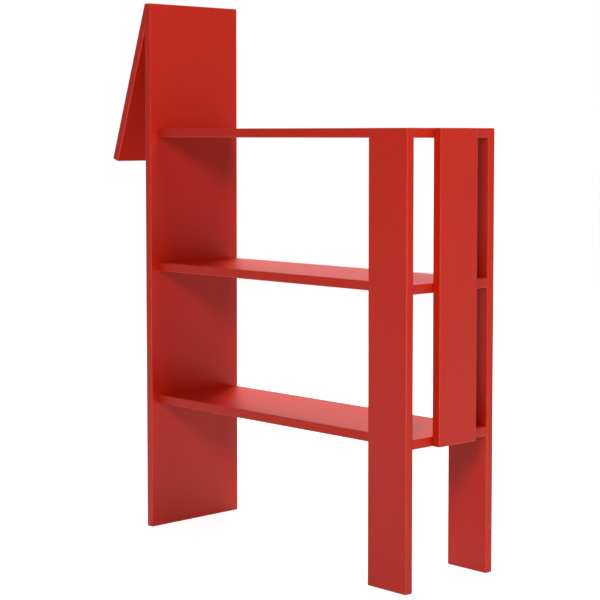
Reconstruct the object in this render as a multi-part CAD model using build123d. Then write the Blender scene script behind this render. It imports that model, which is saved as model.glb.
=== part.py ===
from build123d import *
from math import cos, pi, radians, sin, tan
import os

# Children's bookshelf in the shape of a standing horse, made of eight lacquered boards.
# Millimetres, +Z up, standing on Z = 0. The horse faces -X and its left side is at -Y.
# The origin is on the floor, under the middle of the overall length and width.

# Boards
board = 18.0              # thickness of every board
edge_round = 2.0          # radius of the eased edges
neck_height = 1100.0      # floor to the top of the head
body_width = 240.0        # width of the neck board, and over the outside of both hind legs
shelf_count = 3
shelf_pitch = 280.0       # floor to the first shelf's top, and from each shelf's top to the next
shelf_length = 728.0      # neck board to tail board
leg_width = 96.0          # width of a hind leg, along the shelf
tail_width = 102.0

# Muzzle, a slanted board whose bevelled end lies on the front of the neck board
muzzle_length = 342.0     # along its outer face
muzzle_angle = 19.0       # degrees from the vertical
muzzle_land = 0.6         # blunt top edge of the bevel, level with the neck board's top

# Cam lock, a turning fitting in the underside of a shelf that pulls on the head of a bolt
cam_radius = 7.5
cam_setback = 24.0        # from the board the bolt is screwed into to the lock's axis
cam_above_axis = 3.8      # height of the lock above the bolt's axis
cam_recess = 0.3          # the lock's face sits this far inside the shelf's underside
cam_fit = 0.1             # radial clearance of the lock in its pocket
cam_top_gap = 0.7         # space above the lock in its pocket
cam_cavity_radius = 4.9
cam_cavity_offset = 0.5   # eccentricity of the cavity, away from the mouth
cam_cavity_below_axis = 4.1
cam_mouth_width = 5.2     # slot that the bolt's narrow neck passes
cam_entry_width = 7.8     # opening that the bolt's head enters by, a quarter turn from the mouth
cam_cross_length = 9.0    # screwdriver cross in the lock's face
cam_cross_width = 1.4
cam_cross_depth = 2.4

# Cam bolt
thread_radius = 3.1
thread_root_radius = 2.4
thread_pitch = 2.2
thread_turns = 5
thread_fit = 0.05         # radial clearance of the thread in its hole
thread_end_gap = 0.6      # space beyond the bolt's tip
collar_radius = 3.9
collar_thickness = 1.2
shank_radius = 3.0
bolt_neck_radius = 2.3
bolt_neck_length = 5.2
bolt_head_radius = 3.4
bolt_head_length = 4.2
bolt_head_chamfer = 0.8
bolt_head_seat = 2.95     # from the lock's axis to the back of the bolt's head
bolt_bore_radius = 4.2    # clearance bore in the shelf's edge

# Dowels of the shelf joints
dowel_radius = 4.0
dowel_length = 30.0
dowel_in_face = 10.5      # share of the dowel that stands in the face of the other board

# Dowels of the muzzle joint
muzzle_dowel_radius = 3.0
muzzle_dowel_length = 20.0
muzzle_dowel_in_face = 10.0
muzzle_dowel_above_foot = 14.0  # from the lower end of the bevel to the dowels' axis
muzzle_dowel_inset = 45.0       # from the board's sides to the outer dowels
muzzle_dowel_count = 3

# Every dowel
dowel_fit = 0.05          # radial clearance in the holes
dowel_end_gap = 0.5       # glue space beyond each end
dowel_chamfer = 0.8
flute_count = 12
flute_radius = 0.35

# Rows of fittings
neck_row_inset = 38.0     # from the shelf's long edges to the outer fittings of the neck joint
neck_row_count = 4        # lock, dowel, dowel, lock
leg_dowel_inset = 16.0    # from the leg's long edges
tail_dowel_inset = 16.0   # from the tail's long edges
dowels_per_board = 2      # in a leg or the tail, one each side of the bolt

# Places worked out from the sizes above
slant = radians(muzzle_angle)
muzzle_down = Vector(-sin(slant), 0, -cos(slant))
muzzle_across = Vector(cos(slant), 0, -sin(slant))
# the muzzle's lower outer corner is rounded, so its foremost point lies inside the sharp corner
tip_loss = edge_round * (sin(slant) + cos(slant) - 1)
muzzle_reach = muzzle_land + muzzle_length * sin(slant) - tip_loss
overall_length = muzzle_reach + board + shelf_length + board
x_tail_back = overall_length / 2
x_shelf_end = x_tail_back - board
x_neck = x_shelf_end - shelf_length
x_neck_front = x_neck - board
x_leg = x_shelf_end - leg_width / 2
half_width = body_width / 2
half_shelf = half_width - board
leg_height = shelf_count * shelf_pitch
shelf_tops = [(count + 1) * shelf_pitch for count in range(shelf_count)]
shelf_names = ["bottom", "middle", "top"]
tail_foot = shelf_tops[0] - board
muzzle_foot_z = neck_height - (board / cos(slant) - muzzle_land) / tan(slant)
muzzle_dowel_z = muzzle_foot_z + muzzle_dowel_above_foot
thread_length = thread_pitch * thread_turns

touching = 0.01           # two places nearer than this are one place

AHEAD = Vector(-1, 0, 0)
BACK = Vector(1, 0, 0)
LEFT = Vector(0, -1, 0)
RIGHT = Vector(0, 1, 0)
UP = Vector(0, 0, 1)


def slab(x, y, z):
    """Box between two values on each axis."""
    size = (x[1] - x[0], y[1] - y[0], z[1] - z[0])
    middle = (sum(x) / 2, sum(y) / 2, sum(z) / 2)
    return Pos(*middle) * Box(*size)


def rod(start, axis, radius, length):
    """Cylinder from a point along an axis."""
    from_base = (Align.CENTER, Align.CENTER, Align.MIN)
    return Plane(start, z_dir=axis) * Cylinder(radius, length, align=from_base)


def spread(half_span, inset, count):
    """Evenly spaced places across a board, symmetrical about its middle."""
    outer = half_span - inset
    return [outer * (2 * number / (count - 1) - 1) for number in range(count)]


def eased(solid, keep_square=lambda edge: False):
    """Round every straight edge apart from those that a joint needs square."""
    edges = [edge for edge in solid.edges() if not keep_square(edge)]
    return fillet(edges, edge_round)


# One joint between a shelf and the face of another board. Each point is on that face at the
# shelf's mid height, and its axis points from the face into the shelf.
def neck_joints(z):
    row = [(Vector(x_neck, y, z), BACK) for y in spread(half_shelf, neck_row_inset, neck_row_count)]
    return {"bolts": [row[0], row[-1]], "dowels": row[1:-1]}


def leg_joints(z, side):
    face = side.Y * half_shelf
    offsets = spread(leg_width / 2, leg_dowel_inset, dowels_per_board)
    dowels = [(Vector(x_leg + offset, face, z), -side) for offset in offsets]
    return {"bolts": [(Vector(x_leg, face, z), -side)], "dowels": dowels}


def tail_joints(z):
    offsets = spread(tail_width / 2, tail_dowel_inset, dowels_per_board)
    dowels = [(Vector(x_shelf_end, offset, z), AHEAD) for offset in offsets]
    return {"bolts": [(Vector(x_shelf_end, 0, z), AHEAD)], "dowels": dowels}


def all_heights(joints, *where):
    """The same joint at every shelf's mid height."""
    found = {"bolts": [], "dowels": []}
    for top in shelf_tops:
        joint = joints(top - board / 2, *where)
        found["bolts"] += joint["bolts"]
        found["dowels"] += joint["dowels"]
    return found


def shelf_joints(z):
    """Every fitting that enters one shelf."""
    joints = [neck_joints(z), leg_joints(z, LEFT), leg_joints(z, RIGHT), tail_joints(z)]
    return {kind: [place for joint in joints for place in joint[kind]] for kind in ("bolts", "dowels")}


def face_holes(joint):
    """Holes in the face of the board that a shelf is fixed to."""
    deep = thread_length + thread_end_gap
    holes = [rod(point, -axis, thread_radius + thread_fit, deep) for point, axis in joint["bolts"]]
    deep = dowel_in_face + dowel_end_gap
    holes += [rod(point, -axis, dowel_radius + dowel_fit, deep) for point, axis in joint["dowels"]]
    return holes


def edge_holes(joint):
    """Bores in a shelf's edges, and the lock pockets in its underside."""
    pocket = board / 2 + cam_above_axis + cam_top_gap
    holes = []
    for point, axis in joint["bolts"]:
        holes.append(rod(point, axis, bolt_bore_radius, cam_setback - cam_radius / 2))
        under = point + axis * cam_setback - UP * (board / 2)
        holes.append(rod(under, UP, cam_radius + cam_fit, pocket))
    deep = dowel_length - dowel_in_face + dowel_end_gap
    holes += [rod(point, axis, dowel_radius + dowel_fit, deep) for point, axis in joint["dowels"]]
    return holes


def muzzle_dowel_points():
    row = spread(half_width, muzzle_dowel_inset, muzzle_dowel_count)
    return [Vector(x_neck_front, y, muzzle_dowel_z) for y in row]


def neck_board():
    solid = slab((x_neck_front, x_neck), (-half_width, half_width), (0, neck_height))

    def meets_muzzle(edge):
        box = edge.bounding_box()
        return box.max.X < x_neck_front + touching and box.min.Z > neck_height - touching

    solid = eased(solid, meets_muzzle)
    deep = muzzle_dowel_in_face + dowel_end_gap
    radius = muzzle_dowel_radius + dowel_fit
    holes = face_holes(all_heights(neck_joints))
    holes += [rod(point, BACK, radius, deep) for point in muzzle_dowel_points()]
    return solid - holes


def muzzle_board():
    apex = Vector(x_neck_front, 0, neck_height)
    land = apex + AHEAD * muzzle_land
    outer_foot = land + muzzle_down * muzzle_length
    inner_foot = outer_foot + muzzle_across * board
    bevel_foot = Vector(x_neck_front, 0, muzzle_foot_z)
    outline = Polyline(apex, land, outer_foot, inner_foot, bevel_foot, close=True)
    solid = extrude(make_face(outline), half_width, dir=RIGHT, both=True)

    def on_bevel(edge):
        return edge.bounding_box().min.X > x_neck_front - muzzle_land - touching

    solid = eased(solid, on_bevel)
    deep = muzzle_dowel_length - muzzle_dowel_in_face + dowel_end_gap
    radius = muzzle_dowel_radius + dowel_fit
    return solid - [rod(point, AHEAD, radius, deep) for point in muzzle_dowel_points()]


def shelf(top):
    solid = slab((x_neck, x_shelf_end), (-half_shelf, half_shelf), (top - board, top))

    def meets_neck(edge):
        return edge.bounding_box().max.X < x_neck + touching

    return eased(solid, meets_neck) - edge_holes(shelf_joints(top - board / 2))


def hind_leg(side):
    inner = side.Y * half_shelf
    outer = side.Y * half_width
    x_span = (x_shelf_end - leg_width, x_shelf_end)
    solid = slab(x_span, sorted((inner, outer)), (0, leg_height))
    return eased(solid) - face_holes(all_heights(leg_joints, side))


def tail_board():
    y_span = (-tail_width / 2, tail_width / 2)
    solid = slab((x_shelf_end, x_tail_back), y_span, (tail_foot, leg_height))
    return eased(solid) - face_holes(all_heights(tail_joints))


def cam_lock():
    """Lock with its face on Z = 0, its axis on Z and its mouth towards +X."""
    bolt_z = board / 2 - cam_recess
    height = bolt_z + cam_above_axis
    cavity_z = bolt_z - cam_cavity_below_axis
    half_mouth = cam_mouth_width / 2
    half_entry = cam_entry_width / 2
    half_cross = (cam_cross_length / 2, cam_cross_width / 2)
    body = rod(Vector(0, 0, 0), UP, cam_radius, height)
    cavity = rod(Vector(-cam_cavity_offset, 0, cavity_z), UP, cam_cavity_radius, height - cavity_z)
    mouth = slab((0, cam_radius), (-half_mouth, half_mouth), (bolt_z - half_mouth, height))
    entry = slab((-half_entry, half_entry), (0, cam_radius), (cavity_z, height))
    cross = slab((-half_cross[0], half_cross[0]), (-half_cross[1], half_cross[1]), (0, cam_cross_depth))
    return body - [cavity, mouth, entry, cross, Rot(0, 0, 90) * cross]


def cam_bolt():
    """Bolt on the Z axis, with Z = 0 on the face of the board that it is screwed into."""
    outline = [(0, -thread_length)]
    for turn in range(thread_turns):
        low = turn * thread_pitch - thread_length
        outline += [(thread_root_radius, low), (thread_radius, low + thread_pitch / 2)]
    head_back = cam_setback - bolt_head_seat
    head_end = head_back + bolt_head_length
    outline += [(thread_root_radius, 0), (collar_radius, 0), (collar_radius, collar_thickness),
                (shank_radius, collar_thickness), (shank_radius, head_back - bolt_neck_length),
                (bolt_neck_radius, head_back - bolt_neck_length), (bolt_neck_radius, head_back),
                (bolt_head_radius, head_back), (bolt_head_radius, head_end - bolt_head_chamfer),
                (bolt_head_radius - bolt_head_chamfer, head_end), (0, head_end)]
    profile = make_face(Polyline([(radius, 0, z) for radius, z in outline], close=True))
    return revolve(profile, Axis.Z)


def dowel(radius, length):
    """Fluted and chamfered beech dowel that starts on Z = 0."""
    body = rod(Vector(0, 0, 0), UP, radius, length)
    body = chamfer(body.edges().filter_by(GeomType.CIRCLE), dowel_chamfer)
    flutes = []
    for number in range(flute_count):
        turn = number * 2 * pi / flute_count
        flutes.append(rod(Vector(radius * cos(turn), radius * sin(turn), 0), UP, flute_radius, length))
    return body - flutes


def cam_locks(top):
    lock = cam_lock()
    placed = []
    for point, axis in shelf_joints(top - board / 2)["bolts"]:
        face = point + axis * cam_setback - UP * (board / 2 - cam_recess)
        placed.append(Plane(face, x_dir=-axis, z_dir=UP) * lock)
    return Compound(placed)


def cam_bolts(joint):
    bolt = cam_bolt()
    return Compound([Plane(point, z_dir=axis) * bolt for point, axis in joint["bolts"]])


def shelf_dowels(joint):
    pin = dowel(dowel_radius, dowel_length)
    starts = [(point - axis * dowel_in_face, axis) for point, axis in joint["dowels"]]
    return Compound([Plane(start, z_dir=axis) * pin for start, axis in starts])


def muzzle_dowels():
    pin = dowel(muzzle_dowel_radius, muzzle_dowel_length)
    starts = [point + BACK * muzzle_dowel_in_face for point in muzzle_dowel_points()]
    return Compound([Plane(start, z_dir=AHEAD) * pin for start in starts])


def build():
    """Every sub-part by its node's name."""
    nodes = {"neck_board": neck_board(), "muzzle_board": muzzle_board(), "muzzle_dowels": muzzle_dowels()}
    for name, top in zip(shelf_names, shelf_tops):
        nodes[name + "_shelf"] = shelf(top)
        nodes[name + "_shelf_cam_locks"] = cam_locks(top)
    nodes["left_hind_leg"] = hind_leg(LEFT)
    nodes["right_hind_leg"] = hind_leg(RIGHT)
    nodes["tail_board"] = tail_board()
    joints = {
        "neck": all_heights(neck_joints),
        "left_leg": all_heights(leg_joints, LEFT),
        "right_leg": all_heights(leg_joints, RIGHT),
        "tail": all_heights(tail_joints),
    }
    for name, joint in joints.items():
        nodes[name + "_cam_bolts"] = cam_bolts(joint)
        nodes[name + "_dowels"] = shelf_dowels(joint)
    return nodes


os.makedirs("parts", exist_ok=True)
for node, shape in build().items():
    export_step(shape, f"parts/{node}.step")
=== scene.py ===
"""Finishes, camera, floor and studio light for the horse-shaped bookshelf, in metres."""
from math import cos, radians, sin

import bpy
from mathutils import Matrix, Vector

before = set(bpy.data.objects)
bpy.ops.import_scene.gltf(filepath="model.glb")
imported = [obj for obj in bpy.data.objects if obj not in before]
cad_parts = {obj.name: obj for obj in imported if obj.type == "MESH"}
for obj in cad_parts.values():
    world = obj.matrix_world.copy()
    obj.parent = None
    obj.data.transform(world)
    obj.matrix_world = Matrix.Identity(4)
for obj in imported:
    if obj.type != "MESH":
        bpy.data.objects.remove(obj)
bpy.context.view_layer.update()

MM = 0.001

# Camera of the photograph, solved from the boards' outlines, with angles in degrees
CAMERA_AT = (2.4315, -2.2931, 0.8276)
CAMERA_AZIMUTH = 46.469
CAMERA_ELEVATION = 3.449
CAMERA_LENS = 100.09      # mm, on the sensor below
CAMERA_SENSOR = 36.0      # mm
CAMERA_SHIFT_Y = -0.1079  # share of the frame

# Softboxes: azimuth in degrees as the camera's, then distance, height and side in metres, then watts
SOFTBOXES = {
    "back_softbox": (226, 2.3, 2.5, 0.8, 152),
    "key_softbox": (38, 3.0, 2.0, 0.8, 66),
    "side_softbox": (91, 2.5, 2.4, 0.8, 43),
    "low_softbox": (24, 1.6, 0.25, 0.5, 2),
}
SOFTBOX_AIM = 0.6         # height that every softbox points at
# The two brightest aren't mirrored, so that they light the shelves' tops without a glare on them
NOT_MIRRORED = ["back_softbox", "key_softbox"]

# What a gloss shows of the studio, by the cosine of the angle from where the camera looks
SIDES_IN_GLOSS = 0.35     # share of white at the sides
SIDES_END = 0.1
SWEEP_BEGINS = 0.6

# Floor
FLOOR_SIZE = 60.0
FLOOR_CLEAR = 0.9         # radius about the bookshelf in which the floor keeps a shadow
FLOOR_FAR = 2.2           # radius past which the floor is as white as the background
FLOOR_OWN_LIGHT = 0.90    # share of white that the floor keeps in a shadow
PAPER = "#EDEDED"         # what lights the bookshelf from below
SEEN_PAPER = "#8A8A8A"    # what is seen, with the paper's own light added

# Red lacquer
BOARDS = ["neck_board", "muzzle_board", "top_shelf", "middle_shelf", "bottom_shelf",
          "left_hind_leg", "right_hind_leg", "tail_board"]
LACQUER_THIN = "#B41C04"
LACQUER_THICK = "#B01A03"
# Paler red for the rounded corners, partly rubbed wear and partly a painted highlight
LACQUER_RUBBED_AND_HIGHLIGHT = "#CE3B24"
LACQUER_IOR = 1.4
CUT_EDGE_DULLER = 0.05    # roughness that a cut edge has more than a broad face
ROUNDING_SMOOTHER = 0.18  # roughness that a rounding has less

# Marks of use by board: where in mm, radius in mm and shade. The nick on the right hind leg is a spot of
# painted shade with a painted highlight above it, and the dent on the left hind leg is a paler patch of
# painted highlight
MARKS_WITH_PAINTED_LIGHT = {
    "right_hind_leg": [((419.7, 112.5, 79.5), 2.4, "#5A0802"), ((419.7, 111, 88), 2.4, "#CC523C")],
    "left_hind_leg": [((372, -120, 63), 6.0, "#B82410")],
}
MARK_CORE = 0.4           # share of a mark's radius that has its full shade

GRAIN_STRETCH = 8         # how many times as long as wide the beech's grain is

WHITE = "#FFFFFF"

# A Mix node's sockets for colours have the same names as its other ones, so they go by place
MIX_FIRST = 6
MIX_SECOND = 7
MIX_RESULT = 2


def from_hex(text):
    """Linear red, green, blue and alpha of an sRGB hex colour."""
    shares = [int(text[place:place + 2], 16) / 255 for place in (1, 3, 5)]
    linear = [share / 12.92 if share <= 0.04045 else ((share + 0.055) / 1.055) ** 2.4 for share in shares]
    return (*linear, 1.0)


def add_node(tree, kind, settings=None, inputs=None):
    """A shader node with its settings and its inputs, each a plain value or an output to link to it."""
    node = tree.nodes.new(kind)
    for name, value in (settings or {}).items():
        setattr(node, name, value)
    for name, value in (inputs or {}).items():
        if isinstance(value, bpy.types.NodeSocket):
            tree.links.new(value, node.inputs[name])
        else:
            node.inputs[name].default_value = value
    return node


def number(tree, operation, *values):
    """What a Math node makes of numbers and other nodes' outputs."""
    node = add_node(tree, "ShaderNodeMath", {"operation": operation}, dict(enumerate(values)))
    return node.outputs["Value"]


def measure(tree, operation, *vectors):
    """The number that a Vector Math node finds from vectors and other nodes' outputs."""
    node = add_node(tree, "ShaderNodeVectorMath", {"operation": operation}, dict(enumerate(vectors)))
    return node.outputs["Value"]


def noise(tree, at, wave, detail):
    """Noise between 0 and 1 whose waves have the given length in mm."""
    inputs = {"Vector": at, "Scale": 1 / (wave * MM), "Detail": detail}
    return add_node(tree, "ShaderNodeTexNoise", inputs=inputs).outputs["Fac"]


def remap(tree, value, start=0.0, end=1.0, low=0.0, high=1.0, curve="LINEAR"):
    """Low where the value is at start, high where it is at end, and held beyond both."""
    inputs = {"Value": value, "From Min": start, "From Max": end, "To Min": low, "To Max": high}
    return add_node(tree, "ShaderNodeMapRange", {"interpolation_type": curve}, inputs).outputs["Result"]


def blend(tree, share, first, second):
    """The first colour going over to the second one, each a hex colour or another node's output."""
    first, second = [from_hex(colour) if isinstance(colour, str) else colour for colour in (first, second)]
    inputs = {"Factor": share, MIX_FIRST: first, MIX_SECOND: second}
    return add_node(tree, "ShaderNodeMix", {"data_type": "RGBA"}, inputs).outputs[MIX_RESULT]


def new_material(name):
    material = bpy.data.materials.new(name)
    material.use_nodes = True
    material.node_tree.nodes.clear()
    return material


def add_surface(tree, colour, roughness, relief, strength, height, **other):
    """The material's shader, with a relief of the given strength and height in mm."""
    bump = add_node(tree, "ShaderNodeBump",
                    inputs={"Height": relief, "Strength": strength, "Distance": height * MM})
    shader = add_node(tree, "ShaderNodeBsdfPrincipled",
                      inputs={"Base Color": colour, "Roughness": roughness,
                              "Normal": bump.outputs["Normal"], **other})
    add_node(tree, "ShaderNodeOutputMaterial", inputs={"Surface": shader.outputs["BSDF"]})


def board_axis(node):
    """Direction through a board's thickness, which is the normal of its largest facet."""
    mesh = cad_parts[node].data
    return tuple(max(mesh.polygons, key=lambda facet: facet.area).normal)


def red_satin_lacquer(node):
    """Pigmented lacquer, sprayed on MDF and left satin.

    The eye gets a deep even red with a soft sheen and a faint orange peel. Cut edges drink more
    lacquer, so they are duller and show a little of the fibre. Rounded corners are burnished by
    hands, so they catch the lamps; their paler colour is partly rubbed wear and partly a painted
    highlight.
    """
    material = new_material("red_satin_lacquer_on_" + node)
    tree = material.node_tree
    place = add_node(tree, "ShaderNodeTexCoord").outputs
    at = place["Object"]

    # How far a spot faces along the board's thickness: 1 on a broad face, 0 on a cut edge
    facing = number(tree, "ABSOLUTE", measure(tree, "DOT_PRODUCT", place["Normal"], board_axis(node)))
    cut_edge = remap(tree, facing, start=0.75, end=0.1)
    # 1 on the rounding between a broad face and a cut edge, where the facing is 0.6 give or take 0.36
    rounding = number(tree, "COMPARE", facing, 0.6, 0.36)

    # Broad drift in the lacquer's thickness, a hand's width across
    drift = noise(tree, at, wave=140, detail=2)
    # Hands burnish the roundings: wear there comes and goes every few centimetres. The paler colour laid
    # there is partly this wear and partly a painted highlight
    rubbed_and_highlight = remap(tree, noise(tree, at, wave=35, detail=3), start=0.3, end=0.7, low=0.2, high=0.65)
    rubbed_and_highlight = number(tree, "MULTIPLY", rubbed_and_highlight, rounding)

    colour = blend(tree, drift, LACQUER_THIN, LACQUER_THICK)
    colour = blend(tree, rubbed_and_highlight, colour, LACQUER_RUBBED_AND_HIGHLIGHT)
    # The nick's dark spot is painted shade and its pale spot a painted highlight; the dent's paler patch is a
    # painted highlight
    for centre, radius, shade in MARKS_WITH_PAINTED_LIGHT.get(node, []):
        away = measure(tree, "DISTANCE", at, [length * MM for length in centre])
        mark_painted_light = remap(tree, away, start=radius * MM, end=MARK_CORE * radius * MM)
        colour = blend(tree, mark_painted_light, colour, shade)

    # Orange peel: real peel has 2 to 5 mm waves a few microns high, drawn higher so that it shows
    peel = noise(tree, at, wave=5, detail=1)
    # Fibre that stands in the cut edges, under 1 mm on the board and drawn at 2 mm so that it shows
    fibre = number(tree, "MULTIPLY", noise(tree, at, wave=2, detail=3), cut_edge)
    # The fibre stands half as high again as the peel
    relief = number(tree, "MULTIPLY_ADD", fibre, 1.5, peel)

    # Sheen: satin on the broad faces, duller on the cut edges, smoother where hands rub
    roughness = remap(tree, drift, low=0.42, high=0.48)
    roughness = number(tree, "MULTIPLY_ADD", cut_edge, CUT_EDGE_DULLER, roughness)
    roughness = number(tree, "MULTIPLY_ADD", rounding, -ROUNDING_SMOOTHER, roughness)

    add_surface(tree, colour, roughness, relief, strength=0.5, height=0.04, IOR=LACQUER_IOR)
    return material


def nickel_plated_zinc():
    """Die-cast zinc under thin nickel: a warm grey metal with a cast grain and cloudy sheen."""
    material = new_material("nickel_plated_zinc_casting")
    tree = material.node_tree
    at = add_node(tree, "ShaderNodeTexCoord").outputs["Object"]
    cloud = noise(tree, at, wave=4, detail=2)
    grain = noise(tree, at, wave=0.4, detail=2)
    colour = blend(tree, cloud, "#D3CBBF", "#B3A999")
    roughness = remap(tree, cloud, low=0.28, high=0.46)
    add_surface(tree, colour, roughness, grain, strength=0.4, height=0.03, Metallic=1.0)
    return material


def zinc_plated_steel():
    """Turned steel with bright zinc plating: cool grey with straw-coloured clouds."""
    material = new_material("bright_zinc_plated_steel")
    tree = material.node_tree
    at = add_node(tree, "ShaderNodeTexCoord").outputs["Object"]
    cloud = noise(tree, at, wave=6, detail=2)
    turning = noise(tree, at, wave=0.3, detail=1)
    colour = blend(tree, cloud, "#C7CCD1", "#C4BD9F")
    roughness = remap(tree, turning, low=0.24, high=0.4)
    add_surface(tree, colour, roughness, turning, strength=0.3, height=0.02, Metallic=1.0)
    return material


def beech(node, along):
    """Steamed beech, turned and fluted: pinkish tan with short brown flecks along the grain."""
    material = new_material("beech_of_" + node)
    tree = material.node_tree
    at = add_node(tree, "ShaderNodeTexCoord").outputs["Object"]
    squeeze = [1 / GRAIN_STRETCH if share else 1 for share in along]
    drawn_out = add_node(tree, "ShaderNodeMapping", inputs={"Vector": at, "Scale": squeeze}).outputs["Vector"]
    grain = noise(tree, drawn_out, wave=0.9, detail=4)
    fleck = add_node(tree, "ShaderNodeTexVoronoi", inputs={"Vector": drawn_out, "Scale": 1 / (1.1 * MM)})
    fleck = remap(tree, fleck.outputs["Distance"], start=0.3, end=0.12, high=0.6)
    colour = blend(tree, grain, "#DDBB92", "#C99F70")
    colour = blend(tree, fleck, colour, "#A87648")
    roughness = remap(tree, grain, low=0.6, high=0.75)
    add_surface(tree, colour, roughness, grain, strength=0.5, height=0.05, IOR=1.5)
    return material


def dress(node, material):
    """Give a CAD node its finish."""
    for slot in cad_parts[node].material_slots:
        slot.material = material


def dress_bookshelf():
    for node in BOARDS:
        dress(node, red_satin_lacquer(node))
    casting = nickel_plated_zinc()
    plated = zinc_plated_steel()
    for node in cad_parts:
        if node.endswith("cam_locks"):
            dress(node, casting)
        elif node.endswith("cam_bolts"):
            dress(node, plated)
        elif node.endswith("dowels"):
            along = (0, 1, 0) if "leg" in node else (1, 0, 0)
            dress(node, beech(node, along))


def add_camera():
    data = bpy.data.cameras.new("camera")
    data.lens = CAMERA_LENS
    data.sensor_width = CAMERA_SENSOR
    data.shift_y = CAMERA_SHIFT_Y
    camera = bpy.data.objects.new("camera", data)
    bpy.context.scene.collection.objects.link(camera)
    turn = radians(CAMERA_AZIMUTH)
    rise = radians(CAMERA_ELEVATION)
    back = Vector((sin(turn) * cos(rise), -cos(turn) * cos(rise), sin(rise)))
    camera.location = CAMERA_AT
    camera.rotation_mode = "QUATERNION"
    camera.rotation_quaternion = (-back).to_track_quat("-Z", "Y")
    bpy.context.scene.camera = camera


def add_softbox(name, azimuth, distance, height, side, power):
    """A square lamp that faces the middle of the bookshelf and isn't seen itself."""
    lamp = bpy.data.lights.new(name, "AREA")
    lamp.shape = "SQUARE"
    lamp.size = side
    lamp.energy = power
    softbox = bpy.data.objects.new(name, lamp)
    bpy.context.scene.collection.objects.link(softbox)
    turn = radians(azimuth)
    softbox.location = (sin(turn) * distance, -cos(turn) * distance, height)
    aim = Vector((0, 0, SOFTBOX_AIM)) - softbox.location
    softbox.rotation_mode = "QUATERNION"
    softbox.rotation_quaternion = aim.to_track_quat("-Z", "Y")
    softbox.visible_camera = False
    softbox.visible_glossy = name not in NOT_MIRRORED


def seen_rays(tree, in_gloss):
    """1 for a ray that sees the background straight or through a clear thing, a given share in a gloss."""
    path = add_node(tree, "ShaderNodeLightPath").outputs
    mirrored = number(tree, "MULTIPLY", path["Is Glossy Ray"], in_gloss)
    seen = number(tree, "MAXIMUM", path["Is Camera Ray"], path["Is Transmission Ray"])
    return number(tree, "MAXIMUM", seen, mirrored)


def add_white_background():
    world = bpy.data.worlds.new("white_background")
    world.use_nodes = True
    bpy.context.scene.world = world
    tree = world.node_tree
    tree.nodes.clear()
    # Glossy things mirror the white sweep behind the bookshelf, and a dimmer studio at its sides
    turn = radians(CAMERA_AZIMUTH)
    direction = add_node(tree, "ShaderNodeTexCoord").outputs["Generated"]
    ahead = measure(tree, "DOT_PRODUCT", direction, (-sin(turn), cos(turn), 0))
    sweep = remap(tree, ahead, start=SIDES_END, end=SWEEP_BEGINS, low=SIDES_IN_GLOSS, curve="SMOOTHSTEP")
    background = add_node(tree, "ShaderNodeBackground",
                          inputs={"Color": from_hex(WHITE), "Strength": seen_rays(tree, sweep)})
    add_node(tree, "ShaderNodeOutputWorld", inputs={"Surface": background.outputs["Background"]})


def floor_paper():
    """Matt white paper. Where it is seen it has some light of its own, so that only a soft shadow shows."""
    material = new_material("matt_white_paper")
    tree = material.node_tree
    at = add_node(tree, "ShaderNodeTexCoord").outputs["Object"]
    own_light = remap(tree, measure(tree, "LENGTH", at), start=FLOOR_CLEAR, end=FLOOR_FAR,
                      low=FLOOR_OWN_LIGHT, curve="SMOOTHSTEP")
    paper = add_node(tree, "ShaderNodeBsdfDiffuse", inputs={"Color": from_hex(PAPER)})
    seen_paper = add_node(tree, "ShaderNodeBsdfDiffuse", inputs={"Color": from_hex(SEEN_PAPER)})
    glow = add_node(tree, "ShaderNodeEmission", inputs={"Color": from_hex(WHITE), "Strength": own_light})
    seen_floor = add_node(tree, "ShaderNodeAddShader",
                          inputs={0: seen_paper.outputs["BSDF"], 1: glow.outputs["Emission"]})
    from_above = add_node(tree, "ShaderNodeMixShader",
                          inputs={0: seen_rays(tree, 1.0), 1: paper.outputs["BSDF"],
                                  2: seen_floor.outputs["Shader"]})
    # From below the paper is clear, so that the feet and the undersides can be looked at
    below = add_node(tree, "ShaderNodeNewGeometry").outputs["Backfacing"]
    clear = add_node(tree, "ShaderNodeBsdfTransparent")
    sheet = add_node(tree, "ShaderNodeMixShader",
                     inputs={0: below, 1: from_above.outputs["Shader"], 2: clear.outputs["BSDF"]})
    add_node(tree, "ShaderNodeOutputMaterial", inputs={"Surface": sheet.outputs["Shader"]})
    return material


def add_floor():
    bpy.ops.object.select_all(action="DESELECT")
    bpy.ops.mesh.primitive_plane_add(size=FLOOR_SIZE)
    floor = bpy.context.object
    floor.name = "floor"
    floor.data.materials.append(floor_paper())


dress_bookshelf()
add_camera()
add_white_background()
add_floor()
for softbox_name, setting in SOFTBOXES.items():
    add_softbox(softbox_name, *setting)
bpy.context.scene.view_settings.view_transform = "Standard"
